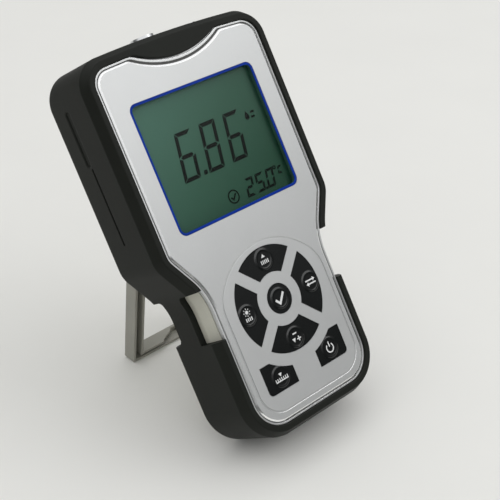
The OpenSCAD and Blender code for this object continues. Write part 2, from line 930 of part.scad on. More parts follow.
// Conical wire spring along +Z, swept as a tube round a helix
module coil() {
    turns = 2.5;
    steps = 40;
    sides = 6;
    wire_r = 0.35;
    rise = spring_gap - 2 * wire_r - 0.1;
    function centre(t) = [
        (4.6 - 1.8 * t) * cos(360 * turns * t), (4.6 - 1.8 * t) * sin(360 * turns * t), wire_r + rise * t
    ];
    rings = [
        for (i = [0:steps])
            let (t = i / steps, a = 360 * turns * t, c = centre(t))
            [for (k = [0:sides - 1])
                let (b = 360 * k / sides)
                c + wire_r * [cos(b) * cos(a), cos(b) * sin(a), sin(b)]]
    ];
    skin(rings);
}

module battery_springs() {
    color("#c9ccd0") posed() {
        translate([-cell_x, bay_y[0] + 0.45, cell_z]) rotate([-90, 0, 0]) coil();
        translate([cell_x, bay_y[1] - 0.45, cell_z]) rotate([90, 0, 0]) coil();
    }
}

module contact_plate(x, y) {
    box([x - 6, x + 6], [y, y + 0.35], [cell_z - 6, cell_z + 6]);
}

module battery_contacts() {
    color("#d5d7d9") posed() {
        for (x = [-1, 1]) {
            contact_plate(x * cell_x, bay_y[0] + 0.05);
            box([x * cell_x - 1.5, x * cell_x + 1.5], [bay_y[0] + 0.05, bay_y[0] + 0.4],
                [cell_z + 5, board_top + 0.6]);
        }
        translate([cell_x, bay_y[0] + 0.2, cell_z]) rotate([-90, 0, 0])
            cylinder(r = 2.4, h = bay_y[1] - 3 - cell_len - bay_y[0] - 0.25);
        for (x = [-1, 1]) contact_plate(x * cell_x, bay_y[1] - 0.4);
        box([-cell_x, cell_x], [bay_y[1] - 0.4, bay_y[1] - 0.05], [cell_z - 3, cell_z + 3]);
        translate([-cell_x, bay_y[1] - 0.2, cell_z]) rotate([90, 0, 0])
            cylinder(r = 2.4, h = bay_y[1] - 3 - cell_len - bay_y[0] - 0.25);
    }
}

module battery_door() {
    color("#b9b8ac") posed() difference() {
        slab(pad_z, pad_z + door_t) rounded([-door_half_w, door_half_w], door_y, 2);
        for (y = door_screw_y) translate([0, y, 0]) {
            cylinder(r = 2.7, h = pad_z + 1.1);
            cylinder(r = 1.3, h = 4);
        }
        for (i = [0:3]) box([-7, 7], [76 + 2.4 * i, 77.2 + 2.4 * i], [0, pad_z + 0.5]);
    }
}

module door_seal() {
    color("#3a3a3a") posed() slab(pad_z + door_t + 0.02, ledge_z - 0.03) difference() {
        translate([-15.6, bay_y[0] - 0.8]) square([31.2, bay_y[1] - bay_y[0] + 1.6]);
        translate([-15, bay_y[0] - 0.2]) square([30, bay_y[1] - bay_y[0] + 0.4]);
    }
}

// Cross-recessed screw with its head towards -Z
module screw(head_r, head_h, shank_r, shank_len) {
    difference() {
        union() {
            cylinder(r = head_r, h = head_h);
            translate([0, 0, head_h - eps]) cylinder(r = shank_r, h = shank_len);
        }
        for (a = [0, 90])
            rotate(a) translate([-head_r * 0.6, -0.3, -1]) cube([head_r * 1.2, 0.6, 1.6]);
    }
}

module door_screws() {
    color("#a9abad") posed() for (y = door_screw_y)
        translate([0, y, pad_z + 0.1]) screw(2.5, 0.98, door_screw_r, 5);
}

module case_screws() {
    color("#a9abad") posed() both() for (p = case_screw_at)
        translate([p[0], p[1], case_seat_z - 1.7]) screw(case_head_r, 1.68, case_screw_r, 15);
}

module board_screws() {
    color("#a9abad") posed() both() for (p = board_screw_at)
        translate([p[0], p[1], board_top + 1.2]) mirror([0, 0, 1]) screw(1.9, 1.18, board_screw_r, 8.5);
}

// ---- Kickstand ----

// The frame folded flat, with its hinge on the X axis and its legs along -Y
module stand_blank() {
    inner = stand_half_w - leg_w;
    difference() {
        intersection() {
            translate([0, 0, -leg_t / 2]) linear_extrude(leg_t) difference() {
                rounded([-stand_half_w, stand_half_w], [foot_y[0], 10], 1.2);
                translate([-inner, bar_y]) square([2 * inner, 200]);
            }
            translate([-30, 0, 0]) rotate([90, 0, 90]) linear_extrude(60)
                polygon([
                    [foot_y[0], -leg_t / 2], [0, -leg_t / 2], [0, leg_t / 2], [foot_y[1], leg_t / 2]
                ]);
        }
        stand_channel();
        finger_notch();
    }
}

// Channel that lightens the frame, open towards the meter
module stand_channel() {
    z = [-leg_t / 2 + web_t, leg_t];
    both() box([stand_half_w - leg_w + leg_wall, stand_half_w - leg_wall], [foot_y[1] + leg_wall, -5], z);
    box([-stand_half_w + leg_wall, stand_half_w - leg_wall], [foot_y[1] + leg_wall, bar_y - leg_wall], z);
}

// Notch in the inner wall of the foot bar, with smoothly curved ends
module finger_notch() {
    deep = -leg_t / 2 + web_t;
    steps = 10;
    ends = [
        for (i = [0:steps])
            let (ease = (1 - cos(180 * i / steps)) / 2)
            [notch_half_w * (1 - 0.85 * ease), leg_t / 2 + eps - (leg_t / 2 - deep) * i / steps]
    ];
    translate([notch_x, bar_y + 1, 0]) rotate([90, 0, 0]) linear_extrude(leg_wall + 1 + eps)
        polygon(concat(ends, [for (i = [steps:-1:0]) [-ends[i][0], ends[i][1]]]));
}

module kickstand() {
    color("#bebdb2") posed() translate([0, hinge_y, hinge_z]) rotate([stand_open, 0, 0]) difference() {
        union() {
            stand_blank();
            both() translate([stand_half_w - leg_w, 0, 0]) rotate([0, 90, 0])
                cylinder(r = leg_t / 2, h = leg_w);
        }
        translate([-30, 0, 0]) rotate([0, 90, 0]) cylinder(r = pin_r + pin_clear, h = 60);
    }
}

module stand_pin() {
    color("#b0b2b4") posed() translate([-pin_half, hinge_y, hinge_z]) rotate([0, 90, 0])
        cylinder(r = pin_r, h = 2 * pin_half - 0.05);
}

rubber_boot();
rear_housing();
front_housing();
housing_gasket();
display_bezel();
display_window();
lcd_glass();
lcd_holder();
backlight_panel();
zebra_strip();
main_board();
processor();
board_components();
buzzer();
keypad_overlay();
key_mat();
snap_domes();
key_ok();
key_up();
key_down();
key_left();
key_right();
key_calibrate();
key_power();
bnc_shell();
bnc_insulator();
bnc_contact();
bnc_washer();
bnc_nut();
temperature_socket();
temperature_insulator();
temperature_contact();
temperature_nut();
signal_wires();
battery_cells();
battery_springs();
battery_contacts();
battery_door();
door_seal();
door_screws();
case_screws();
board_screws();
kickstand();
stand_pin();
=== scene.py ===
"""Looks for the digital pH meter: rubber boot, silver face, display, keypad and kickstand.

Shapes are drawn in the meter's own frame, in millimetres: X across, Y from the heel to the top,
Z from the back to the face. METER carries them into the row frame.
"""
import json
import math

import bmesh
import bpy
from mathutils import Matrix, Vector


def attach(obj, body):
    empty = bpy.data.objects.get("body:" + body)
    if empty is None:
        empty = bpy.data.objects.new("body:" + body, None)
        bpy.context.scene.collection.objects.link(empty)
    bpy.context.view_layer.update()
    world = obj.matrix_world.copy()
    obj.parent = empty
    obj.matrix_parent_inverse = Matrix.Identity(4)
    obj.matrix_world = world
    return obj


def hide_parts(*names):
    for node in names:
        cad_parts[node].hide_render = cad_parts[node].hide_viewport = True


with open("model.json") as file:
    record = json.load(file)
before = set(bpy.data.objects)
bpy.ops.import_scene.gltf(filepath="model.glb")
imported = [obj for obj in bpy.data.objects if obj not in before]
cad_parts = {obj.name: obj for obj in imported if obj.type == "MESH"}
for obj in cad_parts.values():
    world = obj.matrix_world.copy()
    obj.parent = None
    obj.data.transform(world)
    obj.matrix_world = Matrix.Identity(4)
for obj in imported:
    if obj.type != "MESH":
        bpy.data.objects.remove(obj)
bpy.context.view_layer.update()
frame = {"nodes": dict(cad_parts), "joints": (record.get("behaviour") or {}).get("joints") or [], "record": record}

MM = 0.001
JOINTS = {joint["name"]: joint for joint in frame["joints"]}


# ---- The meter's own frame ----

def meter_matrix():
    """The meter leans as its keys' press direction says, with its back and heel at Z and Y zero."""
    press = Vector(JOINTS["key_ok_press"]["axis"])
    turn = Matrix.Rotation(math.atan2(press.y, -press.z), 4, "X")
    back = turn.inverted()
    corners = [back @ v.co for v in frame["nodes"]["rubber_boot"].data.vertices]
    corner = Vector((0, min(c.y for c in corners), min(c.z for c in corners)))
    return Matrix.Translation(turn @ corner) @ turn @ Matrix.Scale(MM, 4)


METER = meter_matrix()
TO_METER = METER.inverted()


def span(node):
    """Lowest and highest corner of a CAD node in the meter's frame, in millimetres."""
    points = [TO_METER @ v.co for v in frame["nodes"][node].data.vertices]
    low = Vector(min(p[i] for p in points) for i in range(3))
    high = Vector(max(p[i] for p in points) for i in range(3))
    return low, high


BOOT_HIGH = span("rubber_boot")[1]
FACE_HIGH = span("front_housing")[1]
BEZEL_LOW, BEZEL_HIGH = span("display_bezel")
WINDOW_LOW, WINDOW_HIGH = span("display_window")
LCD_TOP = span("lcd_glass")[1].z
OVERLAY_LOW, OVERLAY_HIGH = span("keypad_overlay")
KEY_STEM_LOW = span("key_ok")[0].z

# Outline of the boot
HEAD_HALF = BOOT_HIGH.x
CASE_LEN = BOOT_HIGH.y
BOOT_TOP = BOOT_HIGH.z
GRIP_HALF = 35.0
HEEL_R = 17.3
TOP_R = 12.0
WAIST_R = 23.4
WAIST_Y = 55.8
SLOPE = 31.0
SHOULDER_R = 11.2
CROWN_R = 600.0

# Boot: opening in the back, slanted front band, cut-outs at the grip, grooves in the sides
OPENING_INSET = 9.5
BAND_W = 2.1
BAND_Z = BOOT_TOP - 3.9
CUT_LOW = 44.9
CUT_HIGH = 65.3
CUT_FRONT_Z = 19.5
CUT_BACK_Z = 7.4
CUT_DEEP = 24.0
CUT_PAST = 2.0
GROOVE_DEPTH = 0.5
WELL_START_Y = 150.0

# Face: its edge lies a little outside the CAD's, so the rubber rim is narrower by as much
FACE_TOP = FACE_HIGH.z
FACE_BASE = 28.15
FACE_UNDER = 26.0
FACE_GROWN = 0.35
FACE_INSET = HEAD_HALF - FACE_HIGH.x - FACE_GROWN
RIM_EDGE = FACE_INSET - 0.1
CRESCENT_R = 42.0
CRESCENT_Y = 148.8
HORN_R = 4.7
GROOVE_Z = 28.6

# Display
BEZEL_FLANGE = 2.05
DISPLAY_R = 3.2

# Keypad
KEYS_Y = 48.5
RING_R = 21.2
RING_HOLE_R = 10.8
RING_GAP = 5.0
OK_R = 5.9
KEY_CLEAR = 0.12
DOME_R = 4.1
KEY_RISE = 0.1
KEY_BASE = 27.2
KEY_CELL = 0.32
STEM_R = 2.3
FILM_GROWN = 0.25


# ---- Outlines ----

def arc(cx, cy, r, start, end, steps, inset=0.0, skip=0):
    """Points on an arc whose outward normal turns from start to end; a negative r is a hollow."""
    points = []
    for i in range(skip, steps + 1):
        a = math.radians(start + (end - start) * i / steps)
        points.append((cx + (r - inset) * math.cos(a), cy + (r - inset) * math.sin(a)))
    return points


def both_sides(half):
    """Closed outline from its right-hand half, which ends on the middle line."""
    return half + [(-x, y) for x, y in reversed(half) if x > 0.01]


def shape_numbers(crescent_y):
    """Centres and angles at which the outline's arcs meet."""
    slope = math.radians(SLOPE)
    run = HEAD_HALF - GRIP_HALF - (WAIST_R + SHOULDER_R) * (1 - math.cos(slope))
    shoulder_y = WAIST_Y + (WAIST_R + SHOULDER_R) * math.sin(slope) + run / math.tan(slope)
    crown_cy = CASE_LEN - CROWN_R
    top_x = HEAD_HALF - TOP_R
    top_y = crown_cy + math.sqrt((CROWN_R - TOP_R) ** 2 - top_x ** 2)
    crown_a = math.degrees(math.atan2(top_y - crown_cy, top_x))
    crescent_cy = crescent_y + CRESCENT_R
    to_crown = CROWN_R - HORN_R - FACE_INSET
    to_crescent = CRESCENT_R + HORN_R
    gap = crescent_cy - crown_cy
    rise = (to_crown ** 2 - to_crescent ** 2 + gap ** 2) / (2 * gap)
    horn_x = math.sqrt(to_crown ** 2 - rise ** 2)
    return {
        "shoulder_y": shoulder_y,
        "crown_cy": crown_cy,
        "top_x": top_x,
        "top_y": top_y,
        "crown_a": crown_a,
        "crescent_cy": crescent_cy,
        "horn_x": horn_x,
        "horn_y": crown_cy + rise,
        "horn_a0": math.degrees(math.atan2(rise, horn_x)),
        "horn_a1": math.degrees(math.atan2(crescent_cy - crown_cy - rise, -horn_x)),
    }


# The crescent sits a little further in or out on the boot's rim, the groove and the raised face
SHAPE = shape_numbers(CRESCENT_Y)
RIM_SHAPE = shape_numbers(CRESCENT_Y + 0.45)
GROOVE_SHAPE = shape_numbers(CRESCENT_Y - 0.2)
RAISED_SHAPE = shape_numbers(CRESCENT_Y - 0.8)


def side_half(d):
    """Right-hand side from the heel to the end of the top corner, moved in by d."""
    s = SHAPE
    return (
        arc(GRIP_HALF - HEEL_R, HEEL_R, HEEL_R, -90, 0, 28, d)
        + arc(GRIP_HALF + WAIST_R, WAIST_Y, -WAIST_R, 0, -SLOPE, 12, d)
        + arc(HEAD_HALF - SHOULDER_R, s["shoulder_y"], SHOULDER_R, -SLOPE, 0, 10, d)
        + arc(s["top_x"], s["top_y"], TOP_R, 0, s["crown_a"], 22, d)
    )


def face_top_half(d, s=SHAPE):
    """Top edge of the face from its corner to the middle, through the horn and the crescent."""
    return (
        arc(0, s["crown_cy"], CROWN_R, s["crown_a"], s["horn_a0"], 3, d, 1)
        + arc(s["horn_x"], s["horn_y"], HORN_R + FACE_INSET, s["horn_a0"], s["horn_a1"], 9, d, 1)
        + arc(0, s["crescent_cy"], FACE_INSET - CRESCENT_R, s["horn_a1"], 90, 12, d, 1)
    )


def face_outline(d, s=SHAPE):
    return both_sides(side_half(d) + face_top_half(d, s))


def case_outline(d):
    """The boot's outline moved in by d, with one point for each point of the face's outline."""
    r = CROWN_R - d
    crown = [(x, SHAPE["crown_cy"] + math.sqrt(r * r - x * x)) for x, _ in face_top_half(d)]
    return both_sides(side_half(d) + crown)


def overlay_outline(d):
    """Recess of the keypad's film, moved in by d: rounded below, arched above."""
    half = OVERLAY_HIGH.x + FILM_GROWN
    low = OVERLAY_LOW.y - FILM_GROWN
    corner, blend, top, top_cy = 10.5, 15.0, 30.0, 42.3
    blend_x = half - blend
    blend_y = top_cy + math.sqrt((top - blend) ** 2 - blend_x ** 2)
    meet = math.degrees(math.atan2(blend_y - top_cy, blend_x))
    return both_sides(
        arc(half - corner, low + corner, corner, -90, 0, 16, d)
        + arc(blend_x, blend_y, blend, 0, meet, 12, d)
        + arc(0, top_cy, top, meet, 90, 12, d, 1)
    )


def rounded_box(low, high, r, steps=8):
    """Rectangle from low to high with its corners rounded."""
    x0, y0, x1, y1 = low[0] + r, low[1] + r, high[0] - r, high[1] - r
    corners = ((x1, y0, -90), (x1, y1, 0), (x0, y1, 90), (x0, y0, 180))
    return [p for cx, cy, a in corners for p in arc(cx, cy, r, a, a + 90, steps)]


def ring_key_outline(grow=0.0):
    """One key of the ring, above the ring's centre, with parallel gaps to its neighbours."""
    steps = 28
    edge = (RING_GAP / 2 - grow) * math.sqrt(2)

    def corner(r):
        """Angle at which the circle of radius r meets the gap's edge."""
        x = (-edge + math.sqrt(2 * r * r - edge * edge)) / 2
        return math.degrees(math.atan2(x + edge, x))

    outer, inner = RING_R + grow, RING_HOLE_R - grow
    a_out, a_in = corner(outer), corner(inner)
    return arc(0, 0, outer, a_out, 180 - a_out, steps) + arc(0, 0, inner, 180 - a_in, a_in, steps)


def corner_key_outline(grow=0.0):
    """The right-hand key below the ring: its inner top corner is cut by a circle round the ring."""
    x0, x1, y0, y1 = 6.4 - grow, 21.5 + grow, 16.4 - grow, 28.2 + grow
    r, cut = 2.0, 26.2 - grow
    cut_x = math.sqrt(cut ** 2 - (KEYS_Y - y1) ** 2)
    cut_y = KEYS_Y - math.sqrt(cut ** 2 - x0 ** 2)
    a0 = math.degrees(math.atan2(y1 - KEYS_Y, cut_x))
    a1 = math.degrees(math.atan2(cut_y - KEYS_Y, x0))
    rounded = arc(x1 - r, y0 + r, r, -90, 0, 8)
    return [(x0, y0)] + rounded + [(x1, y1)] + arc(0, KEYS_Y, cut, a0, a1, 12)


def placed(outline, dx=0.0, dy=0.0, turn=0.0):
    """The outline turned about the origin, then moved."""
    c, s = math.cos(math.radians(turn)), math.sin(math.radians(turn))
    return [(dx + x * c - y * s, dy + x * s + y * c) for x, y in outline]


def mirrored(outline):
    return [(-x, y) for x, y in reversed(outline)]


def rounded_profile(corners, steps=6):
    """Points along an open profile of (inset, height, radius) corners, rounded by each radius."""
    points = []
    for i, (d, z, r) in enumerate(corners):
        here = Vector((d, z))
        if r <= 0 or i in (0, len(corners) - 1):
            points.append((d, z))
            continue
        back = (Vector(corners[i - 1][:2]) - here).normalized()
        ahead = (Vector(corners[i + 1][:2]) - here).normalized()
        half = back.angle(ahead) / 2
        centre = here + (back + ahead).normalized() * (r / math.sin(half))
        start = here + back * (r / math.tan(half)) - centre
        end = here + ahead * (r / math.tan(half)) - centre
        turn = math.atan2(start.x * end.y - start.y * end.x, start.dot(end))
        for k in range(steps + 1):
            a = turn * k / steps
            c, s = math.cos(a), math.sin(a)
            inset = centre.x + start.x * c - start.y * s
            points.append((inset, centre.y + start.x * s + start.y * c))
    return points


# ---- Meshes ----

def linked(name, data):
    """New object in the scene with the given mesh, light or camera."""
    obj = bpy.data.objects.new(name, data)
    bpy.context.scene.collection.objects.link(obj)
    return obj


def mesh_object(name, points, faces):
    """Object with a mesh given in the meter's frame."""
    mesh = bpy.data.meshes.new(name)
    mesh.from_pydata([METER @ Vector(p) for p in points], [], faces)
    mesh.validate()
    return linked(name, mesh)


def bmesh_object(name, bm):
    """Object with the mesh of bm, which is freed."""
    mesh = bpy.data.meshes.new(name)
    bm.to_mesh(mesh)
    bm.free()
    return linked(name, mesh)


def at_height(outline, z):
    """Points of an outline at height z."""
    return [(x, y, z) for x, y in outline]


def skin(name, rings, loop=False):
    """Solid through a stack of outlines; a loop closes back on its first one, as a tube does."""
    n, m = len(rings[0]), len(rings)
    faces = []
    for i in range(m if loop else m - 1):
        up = (i + 1) % m
        for j in range(n):
            k = (j + 1) % n
            faces.append((i * n + j, i * n + k, up * n + k, up * n + j))
    if not loop:
        faces.append(tuple(reversed(range(n))))
        faces.append(tuple((m - 1) * n + j for j in range(n)))
    return mesh_object(name, [p for ring in rings for p in ring], faces)


def prism(name, outline, z0, z1):
    """Solid with the same outline from z0 to z1."""
    return skin(name, [at_height(outline, z0), at_height(outline, z1)])


def combine(obj, others, operation):
    """Applies a Boolean of obj with others, and deletes the others."""
    for other in others:
        modifier = obj.modifiers.new("cut", "BOOLEAN")
        modifier.operation = operation
        modifier.solver = "EXACT"
        modifier.object = other
    bake(obj)
    for other in others:
        bpy.data.objects.remove(other)


def carve(obj, cutters):
    combine(obj, cutters, "DIFFERENCE")


def join_solids(obj, others):
    combine(obj, others, "UNION")


def bake(obj):
    """Replaces obj's mesh with what its modifiers make of it."""
    bpy.context.view_layer.update()
    graph = bpy.context.evaluated_depsgraph_get()
    mesh = bpy.data.meshes.new_from_object(obj.evaluated_get(graph))
    obj.modifiers.clear()
    obj.data = mesh


def smooth(obj, angle=30.0):
    """Smooth shading that keeps edges sharper than angle."""
    obj.data.shade_smooth()
    obj.data.set_sharp_from_angle(angle=math.radians(angle))
    modifier = obj.modifiers.new("normals", "WEIGHTED_NORMAL")
    modifier.keep_sharp = True
    return obj


def soft_edges(obj, width):
    """Rounds the sharp edges of a solid by width, in millimetres."""
    modifier = obj.modifiers.new("edges", "BEVEL")
    modifier.width = width * MM
    modifier.segments = 2
    modifier.limit_method = "ANGLE"
    modifier.angle_limit = math.radians(35)
    modifier.harden_normals = False


def finish_piece(obj, body, material, stands_for=()):
    """Gives a piece its material, its body and the CAD nodes it stands for."""
    obj.data.materials.clear()
    obj.data.materials.append(MATERIALS[material])
    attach(obj, body)
    if stands_for:
        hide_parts(*stands_for)


def height_field(name, outline, top, bottom, pitch):
    """Solid over an outline, from bottom(x, y) to top(x, y), cut into cells of about pitch."""
    bm = bmesh.new()
    face = bm.faces.new([bm.verts.new((x, y, 0)) for x, y in outline])
    face.normal_update()
    if face.normal.z < 0:
        face.normal_flip()
    for axis in range(2):
        low = min(p[axis] for p in outline)
        high = max(p[axis] for p in outline)
        normal = Vector((1, 0, 0)) if axis == 0 else Vector((0, 1, 0))
        cuts = max(2, int((high - low) / pitch))
        for i in range(1, cuts):
            geometry = bm.verts[:] + bm.edges[:] + bm.faces[:]
            point = normal * (low + (high - low) * i / cuts)
            bmesh.ops.bisect_plane(bm, geom=geometry, plane_co=point, plane_no=normal, dist=1e-6)
    lower = bmesh.ops.duplicate(bm, geom=bm.faces[:])["geom"]
    under = [g for g in lower if isinstance(g, bmesh.types.BMFace)]
    under_verts = {v for f in under for v in f.verts}
    rims = [e for e in bm.edges if e.is_boundary]
    for v in bm.verts:
        v.co.z = bottom(v.co.x, v.co.y) if v in under_verts else top(v.co.x, v.co.y)
    bmesh.ops.reverse_faces(bm, faces=under)
    bmesh.ops.bridge_loops(bm, edges=rims)
    bmesh.ops.recalc_face_normals(bm, faces=bm.faces[:])
    bmesh.ops.transform(bm, matrix=METER, verts=bm.verts[:])
    return bmesh_object(name, bm)


# ---- Materials ----

def principled(name, color, roughness, metallic=0.0, specular=0.5):
    material = bpy.data.materials.new(name)
    material.use_nodes = True
    shader = material.node_tree.nodes["Principled BSDF"]
    shader.inputs["Base Color"].default_value = (*color, 1)
    shader.inputs["Roughness"].default_value = roughness
    shader.inputs["Metallic"].default_value = metallic
    shader.inputs["Specular IOR Level"].default_value = specular
    return material, shader


def noise(material, size, detail):
    """Noise over the meter, with features of about size millimetres."""
    nodes, links = material.node_tree.nodes, material.node_tree.links
    place = nodes.new("ShaderNodeTexCoord")
    texture = nodes.new("ShaderNodeTexNoise")
    texture.inputs["Scale"].default_value = 1 / (size * MM)
    texture.inputs["Detail"].default_value = detail
    texture.inputs["Roughness"].default_value = 0.55
    links.new(place.outputs["Object"], texture.inputs["Vector"])
    return texture.outputs["Fac"]


def ramp(material, value, stops):
    """Colour ramp over value; stops are (position, colour)."""
    node = material.node_tree.nodes.new("ShaderNodeValToRGB")
    elements = node.color_ramp.elements
    while len(elements) < len(stops):
        elements.new(0.5)
    for element, (position, color) in zip(elements, stops):
        element.position = position
        element.color = (*color, 1)
    material.node_tree.links.new(value, node.inputs["Fac"])
    return node.outputs["Color"]


def spread(material, value, low, high):
    """Maps a value from 0 to 1 onto low to high."""
    node = material.node_tree.nodes.new("ShaderNodeMapRange")
    node.inputs["To Min"].default_value = low
    node.inputs["To Max"].default_value = high
    material.node_tree.links.new(value, node.inputs["Value"])
    return node.outputs["Result"]


def bump(material, shader, height, depth):
    """Bump of about depth millimetres."""
    node = material.node_tree.nodes.new("ShaderNodeBump")
    node.inputs["Distance"].default_value = depth * MM
    node.inputs["Strength"].default_value = 1.0
    links = material.node_tree.links
    links.new(height, node.inputs["Height"])
    links.new(node.outputs["Normal"], shader.inputs["Normal"])


def tinted(color, factor):
    return tuple(min(1.0, c * factor) for c in color)


def mottled(name, color, roughness, vary=0.08, patch=9.0, grain=0.35, depth=0.02,
            rough_vary=0.06, **options):
    """Moulded or painted surface: slow colour drift, and a fine grain in relief and roughness."""
    material, shader = principled(name, color, roughness, **options)
    links = material.node_tree.links
    drift = noise(material, patch, 4.0)
    stops = ((0.3, tinted(color, 1 - vary)), (0.7, tinted(color, 1 + vary)))
    links.new(ramp(material, drift, stops), shader.inputs["Base Color"])
    fine = noise(material, grain, 2.0)
    gloss = spread(material, fine, roughness - rough_vary, roughness + rough_vary)
    links.new(gloss, shader.inputs["Roughness"])
    bump(material, shader, fine, depth)
    return material


def rubber_material():
    """Black moulded rubber with a soft matt grain."""
    return mottled("boot_rubber", (0.0080, 0.0095, 0.0070), 0.5, vary=0.14, patch=14,
                   grain=0.5, depth=0.03, rough_vary=0.05, specular=0.18)


def silver_material():
    """Satin silver paint with fine flake."""
    material, shader = principled("silver_paint", (0.53, 0.54, 0.54), 0.36, metallic=0.6)
    links = material.node_tree.links
    flake = noise(material, 0.12, 2.0)
    color = ramp(material, flake, ((0.35, (0.50, 0.51, 0.51)), (0.68, (0.60, 0.61, 0.61))))
    slow = ramp(material, noise(material, 30, 2.0), ((0.3, (0.93, 0.93, 0.93)), (0.7, (1, 1, 1))))
    mix = material.node_tree.nodes.new("ShaderNodeMix")
    mix.data_type = "RGBA"
    mix.blend_type = "MULTIPLY"
    mix.inputs["Factor"].default_value = 0.5
    links.new(color, mix.inputs["A"])
    links.new(slow, mix.inputs["B"])
    links.new(mix.outputs["Result"], shader.inputs["Base Color"])
    links.new(spread(material, flake, 0.32, 0.44), shader.inputs["Roughness"])
    bump(material, shader, flake, 0.006)
    return material


def lcd_material():
    """Grey-green reflective display, with painted light: lighter towards its upper left, where the key light's
    reflection falls.
    """
    across, upward = 9.0, 11.0  # change of shade for each metre
    material, shader = principled("lcd_green", (0.04, 0.085, 0.065), 0.4, specular=0.1)
    nodes, links = material.node_tree.nodes, material.node_tree.links
    place = nodes.new("ShaderNodeTexCoord")
    lean = nodes.new("ShaderNodeVectorMath")
    lean.operation = "DOT_PRODUCT"
    lean.inputs[1].default_value = (-across, 0, upward)
    links.new(place.outputs["Object"], lean.inputs[0])
    # Painted light: the colour ramps lighter towards the upper left and darker towards the lower right, standing
    # in for the key light's reflection.
    shade = nodes.new("ShaderNodeMath")
    shade.operation = "ADD"
    shade.inputs[1].default_value = 0.5 - upward * (METER @ Vector((0, 112, 26))).z
    links.new(lean.outputs["Value"], shade.inputs[0])
    stops = (
        (0.1, (0.017, 0.062, 0.038)),
        (0.5, (0.037, 0.100, 0.070)),
        (0.9, (0.068, 0.158, 0.123)),
    )
    links.new(ramp(material, shade.outputs["Value"], stops), shader.inputs["Base Color"])
    bump(material, shader, noise(material, 0.2, 1.0), 0.004)
    return material


def window_material():
    """Thin clear sheet: see-through, with a reflection that grows at a slant."""
    material = bpy.data.materials.new("clear_window")
    material.use_nodes = True
    nodes, links = material.node_tree.nodes, material.node_tree.links
    nodes.clear()
    clear = nodes.new("ShaderNodeBsdfTransparent")
    clear.inputs["Color"].default_value = (0.96, 0.985, 0.97, 1)
    shine = nodes.new("ShaderNodeBsdfGlossy")
    fresnel = nodes.new("ShaderNodeFresnel")
    fresnel.inputs["IOR"].default_value = 1.2
    side = nodes.new("ShaderNodeNewGeometry")
    front = nodes.new("ShaderNodeMath")
    front.operation = "SUBTRACT"
    front.inputs[0].default_value = 1
    links.new(side.outputs["Backfacing"], front.inputs[1])
    share = nodes.new("ShaderNodeMath")
    share.operation = "MULTIPLY"
    links.new(fresnel.outputs["Fac"], share.inputs[0])
    links.new(front.outputs["Value"], share.inputs[1])
    smear = noise(material, 12, 2.0)
    links.new(spread(material, smear, 0.14, 0.24), shine.inputs["Roughness"])
    mix = nodes.new("ShaderNodeMixShader")
    links.new(share.outputs["Value"], mix.inputs["Fac"])
    links.new(clear.outputs["BSDF"], mix.inputs[1])
    links.new(shine.outputs["BSDF"], mix.inputs[2])
    output = nodes.new("ShaderNodeOutputMaterial")
    links.new(mix.outputs["Shader"], output.inputs["Surface"])
    return material


